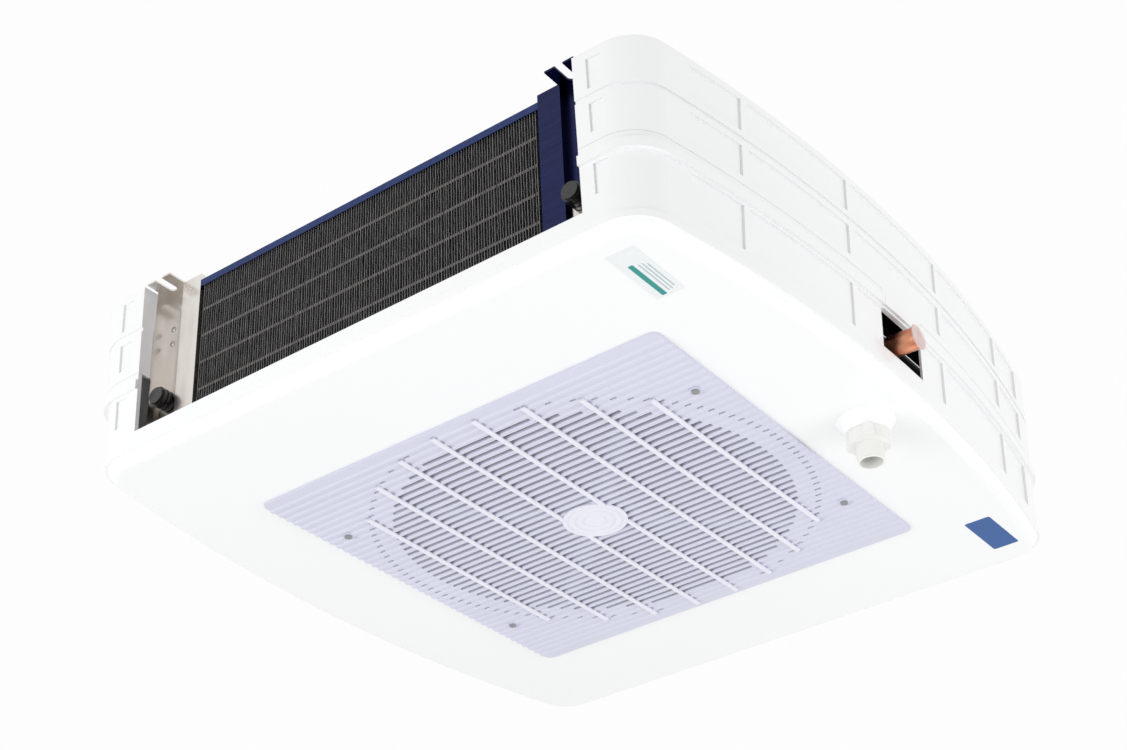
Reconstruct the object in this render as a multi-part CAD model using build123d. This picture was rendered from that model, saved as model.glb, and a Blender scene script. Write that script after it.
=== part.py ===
"""Ceiling-hung dual-discharge unit cooler, as separate parts. Millimetres.

Frame: origin at the centre of the ceiling plane, +X to the pipe end, +Y from one coil face to the
other, +Z up. Everything hangs below z = 0 from the slotted tabs on the coil end plates.
"""
import math
import os
from build123d import *

# --- heights, measured down from the ceiling plane -------------------------------------------
HEIGHT = 205.0                      # ceiling to the ribs of the fan grille
Z_COVER_TOP = -5.0                  # top edge of the side covers
Z_STEP = -55.0                      # groove round the side covers
Z_JOINT = -105.0                    # side covers meet the lower casing
Z_RIM = -171.0                      # lower casing's lip under each coil
Z_FLOOR = -HEIGHT + 6.0             # underside of the lower casing's floor

# --- plan of the casing ------------------------------------------------------------------------
HALF_X = 330.0                      # casing corners
HALF_Y = 382.0                      # coil-side faces
BOW = 40.0                          # how far each end wall bows out past its corners
CORNER_R = 42.0
DRAFT = 0.07                        # mould draft, mm of inset per mm of drop
WALL = 4.5
JOINT_GAP = 0.4
OPENING_X = 263.0                   # half width of each coil opening
BASE_R = 13.0                       # soft edge round the floor

# --- raised ribs on the end walls --------------------------------------------------------------
RIB_Y = (87.0, 247.0, 322.0)
RIB_W = 9.0
PANEL_DEPTH = 2.2

# --- coils -------------------------------------------------------------------------------------
FIN_HALF_X = 207.0
FIN_PITCH = 6.0
FIN_T = 0.4
COIL_FACE_Y = 358.0
COIL_DEPTH = 66.0
COIL_TOP = -16.0
COIL_BOTTOM = -183.0
SHEET_T = 1.2
TUBE_ROWS = 5
TUBE_COLS = 2
TUBE_PITCH = 31.0
TUBE_COL_PITCH = 30.0
TUBE_R = 6.0
PLATE_X = 262.0                     # outer fold of each coil end plate, just behind the opening's edge
POCKET_X = 232.0                    # inner fold, beside the fins
WEB_X = 209.0
TAB_SLOT_R = 4.25
TAB_LENGTH = 29.0
HANGER_X = 247.0

# --- fan and grille ----------------------------------------------------------------------------
GRILLE = 470.0
GRILLE_T = 2.5
FLUTE_PITCH = 10.7
FLUTE_H = 1.4
FLUTE_FOOT = 3.2                    # half width of a flute at its foot
FLUTE_CREST = 1.9                   # half width of its crest
SLOT_W = 5.0
SLOT_CIRCLE_R = 203.0
RING_R = 224.0
RING_SLOT = 7.0
GRILLE_RIB_PITCH = 49.0
GRILLE_RIBS = 8
GRILLE_RIB_W = 5.0
HUB_R = 33.0
SCREW_XY = (210.0, 135.0)
THROAT_R = 180.0
MOUTH_R = 208.0
BLADE_TIP_R = 174.0
BLADES = 5
ROTOR_R = 50.0
SHAFT_R = 6.0
RUNNING = 0.05                      # radial clearance of every running fit

# --- clamp knobs -------------------------------------------------------------------------------
KNOB_X = 246.0
KNOB_Z = -134.0
KNOB_R = 10.0
KNOB_L = 18.0
STUD_R = 3.0
CLAMP_TAB_T = 2.0
CLEAR = 0.4                         # between pieces that move past each other

# --- pipes and drain ---------------------------------------------------------------------------
SUCTION_R = 11.0
SUCTION_Z = -151.0
SUCTION_Y = -8.0
SUCTION_END_X = 377.0
PORT_Y = 76.0
PORT_TOP = -126.0                   # the cover's tongue ends here
PORT_Z = 41.0
DRAIN_X = 300.0
DRAIN_Y = 20.0
DRAIN_R = 13.0
DRAIN_BORE_R = 11.0
DRAIN_DROP = 38.0
TERMINAL_X = 264.0

FLOOR_TOP = Z_FLOOR + WALL
GRILLE_TOP = Z_FLOOR
COIL_BACK_Y = COIL_FACE_Y - COIL_DEPTH
SUPPORT_T = 3.0
MOTOR_Z = GRILLE_TOP + SUPPORT_T    # foot of the motor, on its support


def inset_at(z):
    """Mould draft: how far the casing has drawn in at height z."""
    return DRAFT * (Z_COVER_TOP - z)


def plan(z, inset=0.0, extra=0.0):
    """Casing outline at height z: straight coil sides, bowed end walls, round corners."""
    d = inset_at(z) + inset
    hx = HALF_X - d + extra
    hy = HALF_Y - 0.3 * inset_at(z) - inset + extra
    edges = [
        Line((-hx, -hy), (hx, -hy)),
        ThreePointArc((hx, -hy), (hx + BOW, 0), (hx, hy)),
        Line((hx, hy), (-hx, hy)),
        ThreePointArc((-hx, hy), (-hx - BOW, 0), (-hx, -hy)),
    ]
    face = make_face(Wire(edges))
    face = fillet(face.vertices(), CORNER_R - inset * 0.6)
    return Pos(0, 0, z) * face


def body(z_low, z_high, inset=0.0, extra=0.0):
    """Drafted block between two heights of the casing's outline."""
    return loft([plan(z_low, inset, extra).face(), plan(z_high, inset, extra).face()], ruled=True)


def box(x0, x1, y0, y1, z0, z1):
    """Block from its limits."""
    return Pos((x0 + x1) / 2, (y0 + y1) / 2, (z0 + z1) / 2) * Box(abs(x1 - x0), abs(y1 - y0), abs(z1 - z0))


def cyl_z(x, y, r, z0, z1):
    """Upright cylinder."""
    return Pos(x, y, (z0 + z1) / 2) * Cylinder(r, abs(z1 - z0))


def cyl_y(x, z, r, y0, y1):
    """Cylinder along Y."""
    return Pos(x, (y0 + y1) / 2, z) * Rot(90, 0, 0) * Cylinder(r, abs(y1 - y0))


def cyl_x(y, z, r, x0, x1):
    """Cylinder along X."""
    return Pos((x0 + x1) / 2, y, z) * Rot(0, 90, 0) * Cylinder(r, abs(x1 - x0))


def panel_cutter(z_low, z_high):
    """Shallow panels between the ribs of both end walls, and the strip past the last rib."""
    skin = body(z_low - 4, z_high + 4, extra=3) - body(z_low - 5, z_high + 5, inset=PANEL_DEPTH)
    half = RIB_W / 2
    cells = [(-RIB_Y[0] + half, RIB_Y[0] - half)]
    for a, b in zip(RIB_Y, RIB_Y[1:]):
        cells += [(a + half, b - half), (-b + half, -a - half)]
    boxes = [box(s * 260, s * 420, a, b, z_low, z_high) for a, b in cells for s in (-1, 1)]
    return [skin & b for b in boxes]


def corner_panels(z_low, z_high):
    """The same shallow panels on the four coil-side corner faces."""
    skin = body(z_low - 4, z_high + 4, extra=3) - body(z_low - 5, z_high + 5, inset=PANEL_DEPTH)
    boxes = [box(sx * (OPENING_X + 14), sx * (HALF_X - CORNER_R + 4), sy * 340, sy * 400, z_low, z_high)
             for sx in (-1, 1) for sy in (-1, 1)]
    return [skin & b for b in boxes]


def bead(z, height, proud):
    """Raised band round the casing at height z."""
    ring = body(z - height / 2, z + height / 2, extra=proud) - body(z - height, z + height, inset=1.0)
    return ring


def tray_shell():
    """Lower casing: floor, drafted walls, coil-side lips, a lap lip under the side covers."""
    outer = body(Z_FLOOR, Z_JOINT - JOINT_GAP)
    outer = fillet(outer.edges().group_by(Axis.Z)[0], BASE_R)
    shell = outer - body(FLOOR_TOP, Z_JOINT + 5, inset=WALL)
    shell -= box(-OPENING_X, OPENING_X, -400, 400, Z_RIM, Z_JOINT + 5)
    shell -= panel_cutter(Z_FLOOR + 26, Z_JOINT - 22) + corner_panels(Z_FLOOR + 40, Z_JOINT - 22)
    band = bead(Z_JOINT - 14, 10, 3.0) + bead(Z_RIM - 17, 7, 1.2)
    band -= box(-OPENING_X, OPENING_X, -400, 400, Z_RIM, Z_JOINT + 5)
    shell += band
    lip = body(Z_JOINT - 14, Z_JOINT + 7, inset=WALL + JOINT_GAP)
    lip -= body(Z_JOINT - 20, Z_JOINT + 9, inset=WALL + JOINT_GAP + 2.4)
    lip += body(Z_JOINT - 14, Z_JOINT - 8, inset=WALL - 0.5) - body(Z_JOINT - 20, Z_JOINT, inset=WALL + 2)
    lip -= box(-OPENING_X - 8, OPENING_X + 8, -400, 400, Z_RIM, Z_JOINT + 20)
    shell += lip
    # the coil lips turn inwards into a short ledge, as the moulding does
    for s in (-1, 1):
        y = s * (HALF_Y - 0.3 * inset_at(Z_RIM) - 1)
        shell += box(-OPENING_X + 3, OPENING_X - 3, y, y - s * 13, Z_RIM - 4, Z_RIM)
    # pipe port: a notch open at the joint, so that the casing drops clear of the pipe
    shell -= box(300, 420, -PORT_Y / 2, PORT_Y / 2, PORT_TOP - PORT_Z, Z_JOINT + 20)
    shell -= cyl_z(0, 0, MOUTH_R + 3, Z_FLOOR - 5, FLOOR_TOP + 5)
    for x in (-SCREW_XY[0], SCREW_XY[0]):
        for y in (-SCREW_XY[1], SCREW_XY[1]):
            shell -= cyl_z(x, y, 2.2, Z_FLOOR - 2, FLOOR_TOP + 2)
    # drain boss, blended out of the floor, with the drain passage through it
    boss = Pos(DRAIN_X, DRAIN_Y, Z_FLOOR - 6) * Cone(21, 29, 14)
    shell += boss
    shell -= cyl_z(DRAIN_X, DRAIN_Y, DRAIN_BORE_R, Z_FLOOR - 20, FLOOR_TOP + 5)
    return shell


def port_tongue():
    """Part of the end cover that closes the top of the pipe port's notch, with the bead across it."""
    half = PORT_Y / 2 - JOINT_GAP
    wall = body(PORT_TOP - 2, Z_JOINT + 6) - body(PORT_TOP - 5, Z_JOINT + 8, inset=WALL)
    tongue = (wall + bead(Z_JOINT - 14, 10, 3.0)) & box(300, 420, -half, half, PORT_TOP, Z_JOINT + 1)
    return tongue


def side_cover(s):
    """Upper cover at one end: wraps round both corners to the coil openings."""
    cover = body(Z_JOINT, Z_COVER_TOP) - body(Z_JOINT - 5, Z_COVER_TOP + 5, inset=WALL)
    groove = body(Z_STEP - 2, Z_STEP + 2, extra=3) - body(Z_STEP - 5, Z_STEP + 5, inset=1.6)
    cover -= groove
    cover -= panel_cutter(Z_STEP + 8, Z_COVER_TOP - 7) + panel_cutter(Z_JOINT + 9, Z_STEP - 8)
    cover -= corner_panels(Z_STEP + 8, Z_COVER_TOP - 9) + corner_panels(Z_JOINT + 11, Z_STEP - 8)
    cover += body(Z_COVER_TOP - 3, Z_COVER_TOP) - body(Z_COVER_TOP - 6, Z_COVER_TOP + 6, inset=16)
    keep = box(s * OPENING_X, s * 420, -400, 400, Z_JOINT - 1, 0)
    cover = cover & keep
    if s > 0:
        cover += port_tongue()
    # flange turned in along each opening edge
    for y in (-1, 1):
        edge_y = HALF_Y - 0.3 * inset_at(Z_JOINT) - 2.2
        cover += box(s * OPENING_X, s * (OPENING_X + 3), y * edge_y, y * (edge_y - 12), Z_JOINT, Z_COVER_TOP)
    return cover


def bent_sheet(points, thickness, z0, z1):
    """Sheet with square folds along a plan polyline, standing between two heights."""
    h = thickness / 2
    sheet = None
    for (xa, ya), (xb, yb) in zip(points, points[1:]):
        leg = box(min(xa, xb) - h, max(xa, xb) + h, min(ya, yb) - h, max(ya, yb) + h, z0, z1)
        sheet = leg if sheet is None else sheet + leg
    return sheet


def end_plate(sx, sy):
    """Folded coil end plate with its hanger tab and the threaded boss of the clamp knob."""
    pocket_y = COIL_FACE_Y - 8
    pts = [(PLATE_X, HALF_Y - 17), (PLATE_X, pocket_y), (POCKET_X, pocket_y), (POCKET_X, COIL_FACE_Y),
           (WEB_X, COIL_FACE_Y), (WEB_X, COIL_BACK_Y - 4), (WEB_X + 18, COIL_BACK_Y - 4)]
    pts = [(sx * x, sy * y) for x, y in pts]
    plate = bent_sheet(pts, 1.5, COIL_BOTTOM, -1.0)
    tab = box(sx * (PLATE_X + 0.75), sx * (POCKET_X - 0.5), sy * (pocket_y - 0.7), sy * (pocket_y + TAB_LENGTH), -2.0, 0)
    slot_in = sy * (pocket_y + 10)
    tab -= cyl_z(sx * HANGER_X, slot_in, TAB_SLOT_R, -5, 5)
    tab -= box(sx * HANGER_X - TAB_SLOT_R, sx * HANGER_X + TAB_SLOT_R, slot_in, sy * (pocket_y + TAB_LENGTH + 5), -5, 5)
    plate += tab
    plate += cyl_y(sx * KNOB_X, KNOB_Z, 6.0, sy * pocket_y, sy * (pocket_y - 8))
    plate -= cyl_y(sx * KNOB_X, KNOB_Z, STUD_R + RUNNING, sy * (pocket_y + 5), sy * (pocket_y - 12))
    for y, z in tube_places():
        plate -= cyl_x(sy * y, z, TUBE_R + CLEAR, sx * (WEB_X - 3), sx * (WEB_X + 3))
    return plate


def tube_places():
    """Tube rows and columns, every other column shifted by half a pitch."""
    mid = (COIL_TOP + COIL_BOTTOM) / 2
    out = []
    for c in range(TUBE_COLS):
        y = COIL_FACE_Y - COIL_DEPTH / 2 + (0.5 - c) * TUBE_COL_PITCH
        for r in range(TUBE_ROWS):
            z = mid + (r - (TUBE_ROWS - 1) / 2) * TUBE_PITCH + (0.25 if c else -0.25) * TUBE_PITCH
            out.append((y, z))
    return out


def coil_fins(sy):
    """Fin pack: one plain plate per pitch, from the lower sheet to the upper one."""
    count = int(2 * (FIN_HALF_X - 2) // FIN_PITCH) + 1
    first = -(count - 1) / 2 * FIN_PITCH
    fins = [box(first + i * FIN_PITCH - FIN_T / 2, first + i * FIN_PITCH + FIN_T / 2,
                sy * COIL_BACK_Y, sy * (COIL_FACE_Y - 1), COIL_BOTTOM, COIL_TOP) for i in range(count)]
    return Compound(children=fins)


def coil_sheets(sy):
    """Folded sheets over and under the fin pack."""
    half = WEB_X - 0.75
    sheets = []
    for z, up in ((COIL_TOP, 1), (COIL_BOTTOM, -1)):
        flat = box(-half, half, sy * (COIL_BACK_Y - 2), sy * COIL_FACE_Y, z, z + up * SHEET_T)
        lip = box(-half, half, sy * COIL_FACE_Y, sy * (COIL_FACE_Y - SHEET_T), z + up * SHEET_T, z + up * 8)
        sheets.append(flat + lip)
    return Compound(children=sheets)


def return_bend(x, sx, y0, z0, y1, z1):
    """U-bend between two tube ends."""
    mid = ((y0 + y1) / 2, (z0 + z1) / 2)
    radius = math.hypot(y1 - y0, z1 - z0) / 2
    path = ThreePointArc((x, y0, z0), (x + sx * radius, mid[0], mid[1]), (x, y1, z1))
    ring = Plane(origin=path @ 0, z_dir=path % 0) * Circle(TUBE_R)
    return sweep(ring, path=path)


def coil_tubes(sy):
    """Expanded tubes through the fins, joined by U-bends at both ends."""
    ends = [(sy * y, z) for y, z in tube_places()]
    end_x = WEB_X + 6
    parts = [cyl_x(y, z, TUBE_R, -end_x, end_x) for y, z in ends]
    near, far = ends[:TUBE_ROWS], ends[TUBE_ROWS:]
    for (y0, z0), (y1, z1) in zip(near, far):
        parts.append(return_bend(-end_x, -1, y0, z0, y1, z1))
    for (y0, z0), (y1, z1) in zip(near[1:], far[:-1]):
        parts.append(return_bend(end_x, 1, y0, z0, y1, z1))
    solid = parts[0]
    for p in parts[1:]:
        solid += p
    return solid


def top_plate():
    """Ceiling-side sheet between the coils, with stiffening lips down both ends."""
    x, y = WEB_X + 60, COIL_BACK_Y - 5
    plate = box(-x, x, -y, y, COIL_TOP, COIL_TOP + 1.5)
    for s in (-1, 1):
        plate += box(s * x, s * (x - 1.5), -y, y, COIL_TOP - 18, COIL_TOP)
        plate += box(-WEB_X + 1, WEB_X - 1, s * y, s * (COIL_BACK_Y - 2.3), COIL_TOP, COIL_TOP + 1.5)
    return plate


def suction_header(sy):
    """Upright header on a coil's outlet end, with a stub into each tube of the inner column."""
    y = sy * (COIL_FACE_Y - COIL_DEPTH / 2 - 0.5 * TUBE_COL_PITCH)
    x = WEB_X + 34
    stub = tube_places()[-1]
    low, high = min(SUCTION_Z, stub[1]) - 9, max(SUCTION_Z, stub[1]) + 9
    pipe = cyl_z(x, y, 9.0, low, high)
    pipe += cyl_x(y, stub[1], TUBE_R, WEB_X + 6, x)
    return pipe


def suction_pipe():
    """Copper suction line: joins both headers and leaves through the port in the end wall."""
    x = WEB_X + 34
    y = COIL_FACE_Y - COIL_DEPTH / 2 - 0.5 * TUBE_COL_PITCH
    pipe = cyl_y(x, SUCTION_Z, SUCTION_R, -y, y)
    pipe += cyl_x(SUCTION_Y, SUCTION_Z, SUCTION_R, x, SUCTION_END_X)
    pipe -= cyl_x(SUCTION_Y, SUCTION_Z, SUCTION_R - 1.1, x, SUCTION_END_X + 1)
    pipe += suction_header(-1) + suction_header(1)
    return pipe


def pipe_cap():
    """Thin transport cap pushed over the open pipe end."""
    lip = SUCTION_END_X + 1.4
    cap = cyl_x(SUCTION_Y, SUCTION_Z, SUCTION_R - 1.1 - RUNNING, SUCTION_END_X - 9, lip)
    cap += cyl_x(SUCTION_Y, SUCTION_Z, SUCTION_R + 1.6, SUCTION_END_X + CLEAR, lip)
    cap -= cyl_x(SUCTION_Y, SUCTION_Z, SUCTION_R - 2.6, SUCTION_END_X - 12, lip - 1.2)
    return cap


def liquid_inlet():
    """Liquid line: a stub that ends inside the casing, its distributor, and a feed to each coil."""
    x = WEB_X + 58
    tube_y, tube_z = tube_places()[0]
    line = cyl_y(x, tube_z, 5.0, -tube_y - 5, tube_y + 5)
    line += cyl_y(x, tube_z, 12.0, 46, 74)
    line += cyl_x(60, tube_z, 5.0, x, x + 48)
    for sy in (-1, 1):
        line += cyl_x(sy * tube_y, tube_z, 5.0, WEB_X + 6, x)
    return line


def terminal_box():
    """Wiring box under the top plate at the end away from the pipes."""
    case = box(-TERMINAL_X, -TERMINAL_X + 64, -60, 60, COIL_TOP - 62, COIL_TOP)
    case = fillet(case.edges().filter_by(Axis.Z), 5)
    case -= box(-TERMINAL_X + 3, -TERMINAL_X + 61, -57, 57, COIL_TOP - 59, COIL_TOP - 3)
    return case


def half_chord(radius, y):
    """Half the width of a circle at height y, or zero outside it."""
    return math.sqrt(max(radius * radius - y * y, 0.0))


def grille_panel():
    """Square moulded grille: fluted all over, slotted inside the fan circle, a ring of short slots."""
    half = GRILLE / 2
    lines = int(half / FLUTE_PITCH)
    top, low = GRILLE_TOP, GRILLE_TOP - GRILLE_T
    # section across the flutes: crests stand between the slot rows
    section = [(-half - 2, top), (-half - 2, low)]
    for i in range(-lines, lines):
        y = (i + 0.5) * FLUTE_PITCH
        section += [(y - FLUTE_FOOT, low), (y - FLUTE_CREST, low - FLUTE_H)]
        section += [(y + FLUTE_CREST, low - FLUTE_H), (y + FLUTE_FOOT, low)]
    section += [(half + 2, low), (half + 2, top)]
    face = make_face(Plane.YZ * Polyline(*section, close=True))
    slab = Pos(-half - 2, 0, 0) * extrude(face, GRILLE + 4, dir=(1, 0, 0))
    outline = Pos(0, 0, low - 5) * RectangleRounded(GRILLE, GRILLE, 8)
    slab = slab & extrude(outline, GRILLE_T + 10)
    cuts = []
    for i in range(-lines + 1, lines):
        y = i * FLUTE_PITCH
        inner = half_chord(SLOT_CIRCLE_R, y)
        if inner > 12:
            cuts.append(box(-inner, inner, y - SLOT_W / 2, y + SLOT_W / 2, low - 5, top + 5))
        outer = half_chord(RING_R, y)
        if outer > 0:
            for s in (-1, 1):
                x = s * outer
                cuts.append(box(x - RING_SLOT / 2, x + RING_SLOT / 2, y - SLOT_W / 4, y + SLOT_W / 4, low - 5, top + 5))
    slab -= cuts
    for x in (-SCREW_XY[0], SCREW_XY[0]):
        for y in (-SCREW_XY[1], SCREW_XY[1]):
            slab += cyl_z(x, y, 6.0, low - FLUTE_H, top)
            slab -= cyl_z(x, y, 2.2, low - 5, top + 5)
    return slab


def grille_ribs():
    """Eight white ribs across the slots, ending on the ring, and the hub disc."""
    z1 = GRILLE_TOP - GRILLE_T - FLUTE_H
    z0 = -HEIGHT
    ribs = cyl_z(0, 0, HUB_R, z0 + 0.5, z1)
    for r in (29.0, 21.0, 13.0):
        ribs -= cyl_z(0, 0, r, z0, z0 + 1.0) - cyl_z(0, 0, r - 2.5, z0 - 1, z0 + 2)
    for i in range(GRILLE_RIBS):
        x = (i - (GRILLE_RIBS - 1) / 2) * GRILLE_RIB_PITCH
        y = half_chord(RING_R + 3, x)
        inner = half_chord(HUB_R, x) - 1.5
        spans = [(-y, -inner), (inner, y)] if inner > 0 else [(-y, y)]
        for lo, hi in spans:
            bar = box(x - GRILLE_RIB_W / 2, x + GRILLE_RIB_W / 2, lo, hi, z0, z1)
            ribs += chamfer(bar.edges().filter_by(Axis.Y).group_by(Axis.Z)[0], 0.6)
    return ribs


def grille_screws():
    """Pan-head screws that hold the grille up to the floor."""
    heads = []
    for x in (-SCREW_XY[0], SCREW_XY[0]):
        for y in (-SCREW_XY[1], SCREW_XY[1]):
            z = GRILLE_TOP - GRILLE_T - FLUTE_H
            heads.append(cyl_z(x, y, 3.8, z - 1.6, z) + cyl_z(x, y, 1.9, z, FLOOR_TOP + 4))
    return Compound(children=heads)


def fan_shroud():
    """Bell mouth from the floor opening up to the blade tips."""
    z = FLOOR_TOP
    profile = Plane.XZ * make_face(Wire([
        Line((MOUTH_R + 16, z), (MOUTH_R, z)),
        ThreePointArc((MOUTH_R, z), (THROAT_R + 9, z + 9), (THROAT_R, z + 28)),
        Line((THROAT_R, z + 28), (THROAT_R, z + 52)),
        Line((THROAT_R, z + 52), (THROAT_R + 2.5, z + 52)),
        Line((THROAT_R + 2.5, z + 52), (THROAT_R + 2.5, z + 28)),
        ThreePointArc((THROAT_R + 2.5, z + 28), (THROAT_R + 11, z + 11), (MOUTH_R + 2, z + 2.5)),
        Line((MOUTH_R + 2, z + 2.5), (MOUTH_R + 16, z + 2.5)),
        Line((MOUTH_R + 16, z + 2.5), (MOUTH_R + 16, z)),
    ]))
    return revolve(profile, Axis.Z)


def motor_support():
    """Four flat arms across the grille, ending in the floor's opening, with the motor's foot plate."""
    z = GRILLE_TOP
    arms = cyl_z(0, 0, 46, z, z + SUPPORT_T)
    for a in (45, 135):
        arms += Rot(0, 0, a) * box(-MOUTH_R - 2, MOUTH_R + 2, -9, 9, z, z + SUPPORT_T)
    arms -= cyl_z(0, 0, SHAFT_R + 6, z - 2, z + 5)
    return arms


def motor_stator():
    """Fixed half of the motor, with the shaft's bearing bore."""
    z = MOTOR_Z
    stator = cyl_z(0, 0, 44, z, z + 5) + cyl_z(0, 0, 38, z, z + 44)
    stator -= cyl_z(0, 0, SHAFT_R + RUNNING, z - 2, z + 50)
    return stator


def motor_rotor():
    """Turning outer can of the motor."""
    z = MOTOR_Z
    can = cyl_z(0, 0, ROTOR_R, z + 8, z + 58) - cyl_z(0, 0, 41, z, z + 52)
    can -= cyl_z(0, 0, SHAFT_R, z + 40, z + 70)
    return can


def fan_shaft():
    """Shaft fixed in the can, turning in the stator."""
    shaft = cyl_z(0, 0, SHAFT_R, MOTOR_Z + 1, MOTOR_Z + 62)
    return chamfer(shaft.edges().filter_by(GeomType.CIRCLE), 0.6)


def impeller():
    """Axial impeller: a hub ring on the can and swept, twisted blades."""
    z = MOTOR_Z + 36
    hub = cyl_z(0, 0, ROTOR_R + 5, z - 18, z + 20) - cyl_z(0, 0, ROTOR_R, z - 30, z + 40)
    wheel = hub
    sections = [(ROTOR_R + 2, 84, 38, 0), (110, 104, 30, 9), (BLADE_TIP_R - 2, 128, 23, 20)]
    faces = []
    for r, chord, pitch, sweep_deg in sections:
        shift = r * math.tan(math.radians(sweep_deg)) * 0.5
        place = Plane(origin=(r, shift, z), x_dir=(0, math.cos(math.radians(pitch)), math.sin(math.radians(pitch))),
                      z_dir=(1, 0, 0))
        faces.append(place * Rectangle(chord, 2.4))
    blade = loft([f.face() for f in faces])
    blade = blade & (cyl_z(0, 0, BLADE_TIP_R, z - 80, z + 80) - cyl_z(0, 0, ROTOR_R + 1, z - 90, z + 90))
    for i in range(BLADES):
        wheel += Rot(0, 0, i * 360 / BLADES) * blade
    return wheel


def drain_fitting():
    """Drain stub: lugged collar and open spigot, standing out of the casing's boss."""
    z = Z_FLOOR - 13
    collar = cyl_z(DRAIN_X, DRAIN_Y, 19, z - 14, z)
    for i in range(3):
        a = math.radians(60 + i * 120)
        collar += cyl_z(DRAIN_X + 18 * math.cos(a), DRAIN_Y + 18 * math.sin(a), 5, z - 11, z)
    stub = collar + cyl_z(DRAIN_X, DRAIN_Y, DRAIN_R, z - DRAIN_DROP + 7, z)
    stub -= cyl_z(DRAIN_X, DRAIN_Y, DRAIN_BORE_R, z - DRAIN_DROP, z + 5)
    return stub


def clamp_tab(sx, sy):
    """Steel strip from inside the coil lip up to its knob, with a slot open at the top."""
    face = COIL_FACE_Y - 8 + 0.75 + CLEAR
    x, wide = sx * KNOB_X, 10.0
    low = Z_RIM - 20
    wall_in = HALF_Y - 0.3 * inset_at(low) - WALL
    strip = box(x - wide, x + wide, sy * face, sy * (face + CLAMP_TAB_T), low, KNOB_Z + 9)
    strip += box(x - wide, x + wide, sy * face, sy * (wall_in - 0.2), low, low + CLAMP_TAB_T)
    strip += box(x - wide, x + wide, sy * (wall_in - 2), sy * (wall_in - 0.2), low, low + 14)
    slot = cyl_y(x, KNOB_Z, STUD_R + 0.6, sy * (face - 3), sy * (face + 6))
    slot += box(x - STUD_R - 0.6, x + STUD_R + 0.6, sy * (face - 3), sy * (face + 6), KNOB_Z, KNOB_Z + 20)
    return strip - slot


def knob(sx, sy):
    """Ringed clamp knob with its stud."""
    base = COIL_FACE_Y - 8 + 0.75 + CLEAR + CLAMP_TAB_T + CLEAR
    x = sx * KNOB_X
    head = cyl_y(x, KNOB_Z, KNOB_R - 1.5, sy * base, sy * (base + KNOB_L))
    for off in (0.0, 5.5, 11.0):
        head += cyl_y(x, KNOB_Z, KNOB_R, sy * (base + off + 0.5), sy * (base + off + 4.5))
    head += cyl_y(x, KNOB_Z, STUD_R, sy * (base + 1), sy * (COIL_FACE_Y - 20))
    return head


CORNERS = {"front_left": (-1, -1), "front_right": (1, -1), "rear_left": (-1, 1), "rear_right": (1, 1)}

parts = {
    "tray_shell": tray_shell(),
    "cover_left": side_cover(-1),
    "cover_right": side_cover(1),
    "top_plate": top_plate(),
    "front_coil_fins": coil_fins(-1),
    "rear_coil_fins": coil_fins(1),
    "front_coil_sheets": coil_sheets(-1),
    "rear_coil_sheets": coil_sheets(1),
    "front_coil_tubes": coil_tubes(-1),
    "rear_coil_tubes": coil_tubes(1),
    "suction_pipe": suction_pipe(),
    "pipe_cap": pipe_cap(),
    "liquid_inlet": liquid_inlet(),
    "terminal_box": terminal_box(),
    "grille_panel": grille_panel(),
    "grille_ribs": grille_ribs(),
    "grille_screws": grille_screws(),
    "fan_shroud": fan_shroud(),
    "motor_support": motor_support(),
    "motor_stator": motor_stator(),
    "motor_rotor": motor_rotor(),
    "fan_shaft": fan_shaft(),
    "impeller": impeller(),
    "drain_fitting": drain_fitting(),
}
for name, (sx, sy) in CORNERS.items():
    parts["end_plate_" + name] = end_plate(sx, sy)
    parts["clamp_tab_" + name] = clamp_tab(sx, sy)
    parts["knob_" + name] = knob(sx, sy)

os.makedirs("parts", exist_ok=True)
for name, solid in parts.items():
    export_step(solid, os.path.join("parts", name + ".step"))
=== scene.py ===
import math
import random

import bmesh
import bpy
from mathutils import Matrix, Vector


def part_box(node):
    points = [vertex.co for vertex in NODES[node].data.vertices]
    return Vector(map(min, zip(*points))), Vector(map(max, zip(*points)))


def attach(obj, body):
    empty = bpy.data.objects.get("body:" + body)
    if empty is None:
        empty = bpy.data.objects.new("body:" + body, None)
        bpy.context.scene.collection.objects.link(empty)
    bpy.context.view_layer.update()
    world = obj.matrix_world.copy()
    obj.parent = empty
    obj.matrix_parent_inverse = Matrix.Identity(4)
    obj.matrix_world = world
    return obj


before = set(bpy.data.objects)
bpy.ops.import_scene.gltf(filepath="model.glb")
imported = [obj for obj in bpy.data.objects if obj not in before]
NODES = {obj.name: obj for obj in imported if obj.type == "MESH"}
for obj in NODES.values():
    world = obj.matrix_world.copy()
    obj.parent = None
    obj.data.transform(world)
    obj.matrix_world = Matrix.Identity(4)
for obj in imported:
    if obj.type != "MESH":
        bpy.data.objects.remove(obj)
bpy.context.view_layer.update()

random.seed(7)

# --- camera, in the row frame: below the unit, looking up at its grille and pipe end -----------
LENS_MM = 63.0
SENSOR_MM = 36
CLIP_END = 50
LOOK_AZIMUTH = math.radians(35.16)
LOOK_UP = math.radians(33.06)
ROLL = math.radians(-2.756)
GRILLE_CENTRE = Vector((0, 0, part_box("grille_ribs")[0][2]))
# grille centre seen from the camera: right, down, ahead
CAMERA_OFFSET = Vector((0.0319, 0.1469, 1.9805))

# --- stickers on the casing's floor ------------------------------------------------------------
CARD_THICK = 0.0003
PRINT_THICK = 0.0001
CARD_RADIUS = 0.002
CORNER_STEPS = 6

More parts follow.
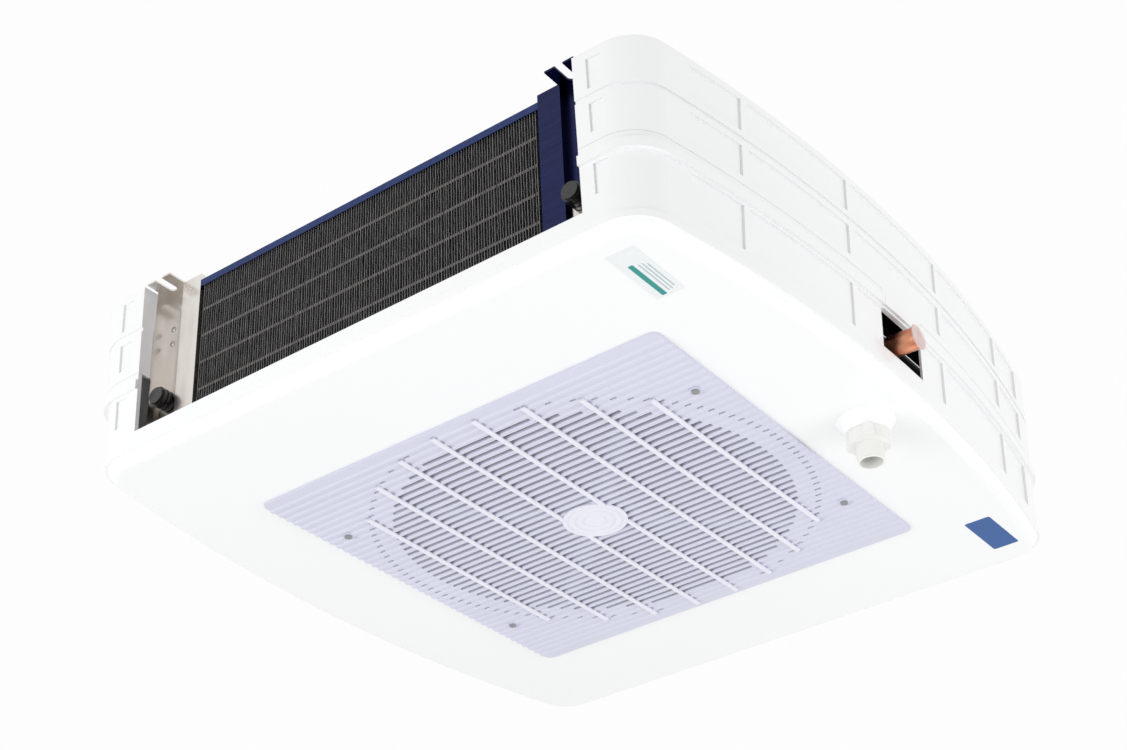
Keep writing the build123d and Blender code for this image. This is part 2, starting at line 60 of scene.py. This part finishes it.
# --- coils -------------------------------------------------------------------------------------
FIN_PITCH = 0.006
FIN_DEPTH = 0.012            # how far the infill reaches into the pack
FIN_HALF = 0.00015           # half of a fin's thickness
FIN_STEPS = 30
FIN_BEND = 0.0006            # largest bow of a fin along its height
RIPPLE = 0.00035
COLLAR_ROWS = 5
COLLAR_ROW_PITCH = 0.031
COLLAR_PITCH = 0.003

# --- end plates --------------------------------------------------------------------------------
CORNERS = ("front_left", "front_right", "rear_left", "rear_right")
RIVET_X = 0.251
PLATE_FACE_Y = 0.35075
RIVET_Z = (-0.045, -0.062)
RIVET_PROFILE = [(0, 0.0014), (0.0016, 0.0012), (0.0028, 0.0006), (0.0032, 0.0), (0.0032, -0.0006), (0, -0.0006)]

# --- end linings -------------------------------------------------------------------------------
BOW_DEPTH = 0.040            # how far the end walls swell out
LINING_INSET = 0.0105        # lining to the cover's outer face
LINING_GAP = 0.0015          # lining to the top plate
LINING_THICK = 0.0012
LINING_END = 0.05            # where it stops, short of the casing's corners
LINING_STEPS = 16

# --- stage -------------------------------------------------------------------------------------
FLOOR_Z = -2.2
FLOOR_HALF = 6
FLOOR_THICK = 0.02
WORLD_STRENGTH = 0.72
# name, place, aim, size, energy
LAMPS = (
    ("key", (-0.8, -2.4, -1.2), (0, 0, -0.1), (1.8, 1.2), 29),
    ("side", (2.6, 0.4, -0.9), (0, 0, -0.1), (1.6, 1.2), 19),
    ("under", (0.2, 0.4, -2.1), (0, 0, -0.2), (2.6, 2.6), 16),
)


def new_object(name, mesh, mat, body, smooth=True):
    obj = bpy.data.objects.new(name, mesh)
    bpy.context.scene.collection.objects.link(obj)
    if mat:
        mesh.materials.append(mat)
    for poly in mesh.polygons:
        poly.use_smooth = smooth
    if body:
        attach(obj, body)
    return obj


def mesh_from(bm, name):
    mesh = bpy.data.meshes.new(name)
    bmesh.ops.recalc_face_normals(bm, faces=bm.faces)
    bm.to_mesh(mesh)
    bm.free()
    return mesh


# ------------------------------------------------------------------------------------------------
# Materials
# ------------------------------------------------------------------------------------------------

class Mat:
    """A principled material with short helpers for its procedural nodes."""

    def __init__(self, name, colour, rough=0.5, metal=0.0, **sockets):
        self.mat = bpy.data.materials.new(name)
        self.mat.use_nodes = True
        self.tree = self.mat.node_tree
        self.bsdf = self.tree.nodes["Principled BSDF"]
        self.set("Base Color", (*colour, 1))
        self.set("Roughness", rough)
        self.set("Metallic", metal)
        for key, value in sockets.items():
            self.set(key.replace("_", " "), value)
        self.coords = self.node("ShaderNodeTexCoord").outputs["Object"]

    def set(self, socket, value):
        self.bsdf.inputs[socket].default_value = value

    def node(self, kind, **props):
        node = self.tree.nodes.new(kind)
        for key, value in props.items():
            setattr(node, key, value)
        return node

    def link(self, a, b):
        self.tree.links.new(a, b)

    def mapped(self, scale):
        node = self.node("ShaderNodeMapping")
        node.inputs["Scale"].default_value = scale
        self.link(self.coords, node.inputs["Vector"])
        return node.outputs["Vector"]

    def noise(self, scale, detail=3.0, stretch=(1, 1, 1)):
        node = self.node("ShaderNodeTexNoise")
        node.inputs["Scale"].default_value = scale
        node.inputs["Detail"].default_value = detail
        self.link(self.mapped(stretch), node.inputs["Vector"])
        return node.outputs["Fac"]

    def ramp(self, fac, stops):
        node = self.node("ShaderNodeValToRGB")
        els = node.color_ramp.elements
        while len(els) < len(stops):
            els.new(0.5)
        for el, (pos, colour) in zip(els, stops):
            el.position = pos
            el.color = (*colour, 1)
        self.link(fac, node.inputs["Fac"])
        return node.outputs["Color"]

    def colour_from(self, fac, stops):
        self.link(self.ramp(fac, stops), self.bsdf.inputs["Base Color"])

    def rough_from(self, fac, low, high):
        node = self.node("ShaderNodeMapRange")
        node.inputs["To Min"].default_value = low
        node.inputs["To Max"].default_value = high
        self.link(fac, node.inputs["Value"])
        self.link(node.outputs["Result"], self.bsdf.inputs["Roughness"])

    def bump(self, height, strength=0.1, distance=0.001):
        node = self.node("ShaderNodeBump")
        node.inputs["Strength"].default_value = strength
        node.inputs["Distance"].default_value = distance
        self.link(height, node.inputs["Height"])
        self.link(node.outputs["Normal"], self.bsdf.inputs["Normal"])


def shade(colour, k):
    return tuple(min(c * k, 1.0) for c in colour)


def moulded(name, colour, rough, grain=900, grain_strength=0.08, coat=0.0):
    """Moulded plastic: faint flow marks in the colour, a fine moulded grain, uneven gloss."""
    m = Mat(name, colour, rough, **({"Coat_Weight": coat, "Coat_Roughness": 0.12} if coat else {}))
    flow = m.noise(9, 4, (1, 1, 3))
    m.colour_from(flow, [(0.3, shade(colour, 0.965)), (0.7, colour)])
    m.rough_from(m.noise(24, 3), rough * 0.85, rough * 1.2)
    m.bump(m.noise(grain, 2), grain_strength, 0.0002)
    return m.mat


def metal(name, colour, rough, stretch=(1, 1, 30), streak=0.12, bump=0.08, scale=60):
    """Rolled or drawn metal: fine streaks along one way in colour, gloss and height."""
    m = Mat(name, colour, rough, 1.0)
    lines = m.noise(scale, 5, stretch)
    m.colour_from(lines, [(0.3, shade(colour, 1 - streak)), (0.7, shade(colour, 1 + streak * 0.5))])
    m.rough_from(m.noise(14, 4), rough * 0.7, rough * 1.35)
    m.bump(lines, bump, 0.0002)
    return m.mat


def fin_metal(name, colour):
    """Corrugated fin stock in a dark, patchy colour that is painted shade for the depth of the pack, with a rippled
    edge.
    """
    m = Mat(name, colour, 0.42, 0.85)
    # painted shade: the dark base colour and a fin-to-fin ramp from 0.55 to 1.35 of it stand in for the shade deep in
    # the pack
    m.colour_from(m.noise(70, 5, (8, 1, 1)), [(0.25, shade(colour, 0.55)), (0.75, shade(colour, 1.35))])
    wave = m.node("ShaderNodeTexWave", wave_type="BANDS", bands_direction="Z")
    wave.inputs["Scale"].default_value = 90
    m.link(m.mapped((1, 1, 1)), wave.inputs["Vector"])
    m.bump(wave.outputs["Fac"], 0.5, 0.0006)
    m.rough_from(m.noise(40, 3), 0.3, 0.55)
    return m.mat


def copper(name):
    """Drawn copper with darker oxide clouds and a few bright handling marks."""
    m = Mat(name, (0.72, 0.30, 0.17), 0.28, 1.0)
    m.colour_from(m.noise(45, 6), [(0.3, (0.40, 0.13, 0.07)), (0.52, (0.70, 0.29, 0.17)),
                                   (0.75, (0.90, 0.50, 0.34))])
    m.rough_from(m.noise(90, 4), 0.18, 0.42)
    m.bump(m.noise(500, 3, (1, 8, 8)), 0.08, 0.0002)
    return m.mat


def steel_with_painted_reflections(name):
    """Glossy stainless sheet whose colour carries painted warm reflections and pale painted highlights, with faint
    rolling lines and finger smears.
    """
    m = Mat(name, (0.70, 0.655, 0.61), 0.2, 1.0)
    # painted reflections: the brown-beige to near-white colour ramp stands in for warm reflections and highlights
    m.colour_from(m.noise(18, 5, (1, 1, 0.35)), [(0.3, (0.50, 0.44, 0.40)), (0.55, (0.72, 0.68, 0.64)),
                                                 (0.8, (0.84, 0.82, 0.80))])
    m.rough_from(m.noise(30, 5), 0.12, 0.32)
    m.bump(m.noise(260, 4, (1, 1, 0.05)), 0.06, 0.0002)
    return m.mat


def white_casing():
    """Glossy white thermoformed shell: very slight clouding and orange peel."""
    white = (0.885, 0.89, 0.895)
    m = Mat("casing_white", white, 0.27, Coat_Weight=0.25, Coat_Roughness=0.1, IOR=1.5)
    m.colour_from(m.noise(3, 1), [(0.2, shade(white, 0.99)), (0.8, white)])
    m.rough_from(m.noise(8, 1), 0.27, 0.31)
    m.bump(m.noise(650, 2), 0.035, 0.0002)
    return m.mat


def cap_plastic():
    """Thin, slightly pink translucent transport cap."""
    m = Mat("cap_translucent", (0.93, 0.74, 0.70), 0.3, Transmission_Weight=0.35, IOR=1.45)
    m.colour_from(m.noise(120, 3), [(0.3, (0.88, 0.62, 0.58)), (0.7, (0.95, 0.82, 0.80))])
    m.bump(m.noise(700, 2), 0.1, 0.0002)
    return m.mat


def sticker(name, colour, rough=0.35):
    """Printed vinyl: nearly flat colour with a paper-fine grain."""
    m = Mat(name, colour, rough)
    m.colour_from(m.noise(260, 2), [(0.2, shade(colour, 0.94)), (0.8, colour)])
    m.bump(m.noise(1500, 2), 0.04, 0.0001)
    return m.mat


MATS = {
    "white": white_casing(),
    "grille": moulded("grille_lavender", (0.63, 0.64, 0.75), 0.42, 1200, 0.1),
    "grille_white": moulded("grille_rib_white", (0.77, 0.775, 0.85), 0.4),
    "shroud": moulded("shroud_white", (0.60, 0.60, 0.58), 0.45),
    "drain": moulded("drain_white", (0.84, 0.84, 0.81), 0.38),
    "fan": moulded("fan_beige", (0.40, 0.385, 0.36), 0.5),
    "box": moulded("box_grey", (0.5, 0.51, 0.52), 0.5),
    "black": moulded("knob_black", (0.010, 0.010, 0.011), 0.22, 600, 0.05, coat=0.15),
    "stainless": steel_with_painted_reflections("end_plate_stainless"),
    "galvanised": metal("galvanised_sheet", (0.56, 0.58, 0.60), 0.4, (1, 1, 1), 0.2, 0.05, 30),
    "navy": metal("navy_sheet", (0.035, 0.055, 0.16), 0.3, (20, 1, 1), 0.25),
    # painted shade: a darker copy of the navy sheet, for the right end plates that sit in shadow
    "navy_plate_painted_shade": metal("navy_plate_painted_shade", (0.02, 0.025, 0.085), 0.3, (1, 1, 20), 0.25),
    # dark fin colour: painted shade of the pack's depth
    "fins": fin_metal("fin_stock", (0.30, 0.29, 0.29)),
    "tube": metal("tube_dull", (0.17, 0.16, 0.155), 0.5, (20, 1, 1), 0.2),
    "copper": copper("copper_tube"),
    "screw": metal("screw_steel", (0.42, 0.42, 0.43), 0.3),
    "motor": metal("motor_cast", (0.34, 0.34, 0.35), 0.5, (1, 1, 1), 0.15, 0.2, 120),
    "dark": metal("lining_sheet", (0.10, 0.10, 0.10), 0.5, (1, 1, 1), 0.2),
    "cap": cap_plastic(),
    "blue": sticker("sticker_blue", (0.012, 0.085, 0.30)),
    "label_white": sticker("sticker_white", (0.80, 0.83, 0.84)),
    "label_teal": sticker("sticker_teal", (0.02, 0.27, 0.25)),
    "label_grey": sticker("sticker_grey", (0.42, 0.50, 0.52)),
}

NODE_MATS = {
    "tray_shell": "white", "cover_left": "white", "cover_right": "white", "top_plate": "dark",
    "front_coil_fins": "fins", "rear_coil_fins": "fins", "front_coil_sheets": "navy", "rear_coil_sheets": "navy",
    "front_coil_tubes": "tube", "rear_coil_tubes": "tube", "suction_pipe": "copper", "pipe_cap": "cap",
    "liquid_inlet": "copper", "terminal_box": "box", "grille_panel": "grille", "grille_ribs": "grille_white",
    "grille_screws": "screw", "fan_shroud": "shroud", "motor_support": "galvanised", "motor_stator": "motor",
    "motor_rotor": "motor", "fan_shaft": "screw", "impeller": "fan", "drain_fitting": "drain",
}
for corner in CORNERS:
    # right end plates take the darker navy copy (painted shade); left ones take stainless
    NODE_MATS["end_plate_" + corner] = "navy_plate_painted_shade" if corner.endswith("right") else "stainless"
    NODE_MATS["clamp_tab_" + corner] = "stainless"
    NODE_MATS["knob_" + corner] = "black"


def dress_nodes():
    """Gives every CAD node its material."""
    for name, key in NODE_MATS.items():
        obj = NODES[name]
        if not obj.material_slots:
            obj.data.materials.append(MATS[key])
        for slot in obj.material_slots:
            slot.material = MATS[key]


# ------------------------------------------------------------------------------------------------
# Pieces
# ------------------------------------------------------------------------------------------------

def slab(bm, x0, x1, y0, y1, z0, z1):
    """Closed block added to bm."""
    for v in bmesh.ops.create_cube(bm, size=1.0)["verts"]:
        v.co = Vector((x0 + (v.co.x + 0.5) * (x1 - x0),
                       y0 + (v.co.y + 0.5) * (y1 - y0),
                       z0 + (v.co.z + 0.5) * (z1 - z0)))


def rounded_card(name, centre, size, radius, thick, mat):
    """Thin card with round corners, lying under the floor of the casing."""
    bm = bmesh.new()
    hx, hy = size[0] / 2, size[1] / 2
    pts = []
    for cx, cy, a0 in ((hx - radius, hy - radius, 0), (-hx + radius, hy - radius, 90),
                       (-hx + radius, -hy + radius, 180), (hx - radius, -hy + radius, 270)):
        for k in range(CORNER_STEPS + 1):
            a = math.radians(a0 + k * 90 / CORNER_STEPS)
            pts.append((cx + radius * math.cos(a), cy + radius * math.sin(a)))
    top = [bm.verts.new((centre[0] + x, centre[1] + y, centre[2])) for x, y in pts]
    low = [bm.verts.new((centre[0] + x * 0.995, centre[1] + y * 0.995, centre[2] - thick)) for x, y in pts]
    bm.faces.new(top)
    bm.faces.new(low)
    for i in range(len(pts)):
        j = (i + 1) % len(pts)
        bm.faces.new((top[i], top[j], low[j], low[i]))
    return new_object(name, mesh_from(bm, name), mat, "tray", smooth=False)


def labels():
    """Two blank stickers on the floor: a plain blue one, and a white one with generic bars."""
    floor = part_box("grille_panel")[1][2]
    rounded_card("sticker_blue", (0.292, 0.300, floor), (0.028, 0.070), CARD_RADIUS, CARD_THICK, MATS["blue"])
    x, y = 0.276, -0.310
    rounded_card("sticker_white", (x, y, floor), (0.029, 0.078), CARD_RADIUS, CARD_THICK, MATS["label_white"])
    print_y, print_z = y + 0.010, floor - CARD_THICK
    rounded_card("sticker_teal_bar", (x - 0.0045, print_y, print_z), (0.005, 0.052), 0.001, PRINT_THICK,
                 MATS["label_teal"])
    for i, length in enumerate((0.046, 0.046, 0.040)):
        rounded_card("sticker_line_%d" % i, (x + 0.002 + i * 0.0035, print_y, print_z), (0.0012, length), 0.0005,
                     PRINT_THICK, MATS["label_grey"])


def fin_infill(side):
    """Rippled fins between the CAD fins, so that the pack has its real density."""
    low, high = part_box(side + "_coil_fins")
    face, back = (low[1], low[1] + FIN_DEPTH) if side == "front" else (high[1], high[1] - FIN_DEPTH)
    count = int(round((high[0] - low[0]) / FIN_PITCH))
    bm = bmesh.new()
    for i in range(count):
        x = low[0] + 0.0002 + (i + 0.5) * FIN_PITCH
        bend = random.uniform(-FIN_BEND, FIN_BEND)
        rows = []
        for k in range(FIN_STEPS + 1):
            z = low[2] + (high[2] - low[2]) * k / FIN_STEPS
            ripple = RIPPLE * math.sin(k * 2.4) + bend * math.sin(math.pi * k / FIN_STEPS)
            rows.append([bm.verts.new((x + ripple + dx, y, z)) for dx, y in
                         ((-FIN_HALF, face), (FIN_HALF, face), (FIN_HALF, back), (-FIN_HALF, back))])
        for a, b in zip(rows, rows[1:]):
            for j in range(4):
                bm.faces.new((a[j], a[(j + 1) % 4], b[(j + 1) % 4], b[j]))
        bm.faces.new(rows[0])
        bm.faces.new(rows[-1])
    return new_object(side + "_fin_infill", mesh_from(bm, side + "_fin_infill"), MATS["fins"], "frame", smooth=False)


def tube_rows(side):
    """Fin collars, seen as bands where each tube row crosses the pack."""
    low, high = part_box(side + "_coil_fins")
    face, inward = (low[1], 1) if side == "front" else (high[1], -1)
    mid = (low[2] + high[2]) / 2
    count = int((high[0] - low[0]) / COLLAR_PITCH)
    bm = bmesh.new()
    for r in range(COLLAR_ROWS):
        z = mid + (r - (COLLAR_ROWS - 1) / 2) * COLLAR_ROW_PITCH - 0.25 * COLLAR_ROW_PITCH
        for i in range(count):
            x = low[0] + (i + 0.5) * COLLAR_PITCH
            slab(bm, x - 0.0009, x + 0.0009, face + inward * 0.0005, face + inward * 0.004, z - 0.0016, z + 0.0016)
    return new_object(side + "_fin_collars", mesh_from(bm, side + "_fin_collars"), MATS["tube"], "frame", smooth=False)


def lathe(name, profile, place, mat, body, steps=40):
    """Turned piece: profile of (radius, height) pairs about local Z, then placed."""
    bm = bmesh.new()
    rings = []
    for r, h in profile:
        if r <= 1e-6:
            rings.append([bm.verts.new((0, 0, h))])
        else:
            turns = [2 * math.pi * k / steps for k in range(steps)]
            rings.append([bm.verts.new((r * math.cos(t), r * math.sin(t), h)) for t in turns])
    for a, b in zip(rings, rings[1:]):
        for k in range(steps):
            j = (k + 1) % steps
            if len(a) == 1:
                bm.faces.new((a[0], b[k], b[j]))
            elif len(b) == 1:
                bm.faces.new((a[k], a[j], b[0]))
            else:
                bm.faces.new((a[k], a[j], b[j], b[k]))
    bmesh.ops.transform(bm, matrix=place, verts=bm.verts)
    return new_object(name, mesh_from(bm, name), mat, body)


def plate_details():
    """Two small rivets on each end plate, above the knobs."""
    for corner in CORNERS:
        sx = 1 if corner.endswith("right") else -1
        sy = -1 if corner.startswith("front") else 1
        turn = Matrix.Rotation(math.radians(-90 * sy), 4, "X")
        for k, z in enumerate(RIVET_Z):
            place = Matrix.Translation((sx * RIVET_X, sy * PLATE_FACE_Y, z)) @ turn
            lathe("plate_rivet_%s_%d" % (corner, k), RIVET_PROFILE, place, MATS["screw"], "frame", 20)


def inner_lining():
    """Sheet-metal ceiling of the two end spaces, between the coil end plates and the covers."""
    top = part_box("top_plate")
    for side, s in (("left", -1), ("right", 1)):
        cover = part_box("cover_" + side)
        half_y = cover[1][1]
        corner_x = max(abs(cover[0][0]), abs(cover[1][0])) - BOW_DEPTH
        edge = abs(top[1][0]) + LINING_GAP
        far = []
        for k in range(LINING_STEPS + 1):
            y = -(half_y - LINING_END) + 2 * (half_y - LINING_END) * k / LINING_STEPS
            far.append((s * (corner_x + BOW_DEPTH * (1 - (y / half_y) ** 2) - LINING_INSET), y))
        outline = far + [(s * edge, y) for _, y in reversed(far)]
        z = top[1][2] - LINING_GAP
        bm = bmesh.new()
        lower = [bm.verts.new((x, y, z)) for x, y in outline]
        upper = [bm.verts.new((x, y, z + LINING_THICK)) for x, y in outline]
        bm.faces.new(lower)
        bm.faces.new(upper)
        for i in range(len(lower)):
            j = (i + 1) % len(lower)
            bm.faces.new((lower[i], lower[j], upper[j], upper[i]))
        new_object("end_lining_" + side, mesh_from(bm, "end_lining_" + side), MATS["dark"], "frame", smooth=False)


def area_lamp(name, place, aim, size, energy):
    light = bpy.data.lights.new(name, "AREA")
    light.shape = "RECTANGLE"
    light.size, light.size_y = size
    light.energy = energy
    obj = bpy.data.objects.new(name, light)
    bpy.context.scene.collection.objects.link(obj)
    obj.location = place
    obj.rotation_euler = (Vector(aim) - Vector(place)).to_track_quat("-Z", "Y").to_euler()


def surroundings():
    """White where the camera, a reflection or a refraction sees it, softer as a light."""
    world = bpy.data.worlds.new("studio")
    bpy.context.scene.world = world
    world.use_nodes = True
    tree = world.node_tree
    lighting = tree.nodes["Background"]
    lighting.inputs["Color"].default_value = (1, 1, 1, 1)
    lighting.inputs["Strength"].default_value = WORLD_STRENGTH
    shown = tree.nodes.new("ShaderNodeBackground")
    shown.inputs["Color"].default_value = (0.985, 0.985, 0.985, 1)
    shown.inputs["Strength"].default_value = 1.0
    path = tree.nodes.new("ShaderNodeLightPath")
    mix = tree.nodes.new("ShaderNodeMixShader")
    ray = path.outputs["Is Camera Ray"]
    for kind in ("Is Glossy Ray", "Is Transmission Ray"):
        either = tree.nodes.new("ShaderNodeMath")
        either.operation = "MAXIMUM"
        tree.links.new(ray, either.inputs[0])
        tree.links.new(path.outputs[kind], either.inputs[1])
        ray = either.outputs[0]
    tree.links.new(ray, mix.inputs[0])
    tree.links.new(lighting.outputs[0], mix.inputs[1])
    tree.links.new(shown.outputs[0], mix.inputs[2])
    tree.links.new(mix.outputs[0], tree.nodes["World Output"].inputs["Surface"])


def studio():
    """Pale floor far below, soft lights, white surroundings."""
    bm = bmesh.new()
    slab(bm, -FLOOR_HALF, FLOOR_HALF, -FLOOR_HALF, FLOOR_HALF, FLOOR_Z - FLOOR_THICK, FLOOR_Z)
    floor_mat = Mat("studio_floor", (0.88, 0.88, 0.88), 0.7)
    floor_mat.colour_from(floor_mat.noise(2, 3), [(0.3, (0.86, 0.86, 0.86)), (0.7, (0.89, 0.89, 0.89))])
    floor = new_object("studio_floor", mesh_from(bm, "studio_floor"), floor_mat.mat, None, smooth=False)
    surroundings()
    for lamp in LAMPS:
        area_lamp(*lamp)


def camera():
    """Camera placed by where the grille's centre lies from it."""
    heading = Vector((-math.sin(LOOK_AZIMUTH), math.cos(LOOK_AZIMUTH), 0))
    up = Vector((0, 0, 1))
    right = heading.cross(up)
    ahead = math.cos(LOOK_UP) * heading + math.sin(LOOK_UP) * up
    down = math.sin(LOOK_UP) * heading - math.cos(LOOK_UP) * up
    c, s = math.cos(ROLL), math.sin(ROLL)
    cam_right = c * right - s * down
    cam_down = s * right + c * down
    spot = GRILLE_CENTRE - (CAMERA_OFFSET.x * cam_right + CAMERA_OFFSET.y * cam_down + CAMERA_OFFSET.z * ahead)
    data = bpy.data.cameras.new("camera")
    data.lens = LENS_MM
    data.sensor_width = SENSOR_MM
    data.clip_end = CLIP_END
    obj = bpy.data.objects.new("camera", data)
    bpy.context.scene.collection.objects.link(obj)
    turn = Matrix((cam_right, -cam_down, -ahead)).transposed().to_4x4()
    obj.matrix_world = Matrix.Translation(spot) @ turn
    bpy.context.scene.camera = obj


dress_nodes()
labels()
for side in ("front", "rear"):
    fin_infill(side)
    tube_rows(side)
plate_details()
inner_lining()
studio()
camera()
bpy.context.scene.view_settings.view_transform = "Standard"
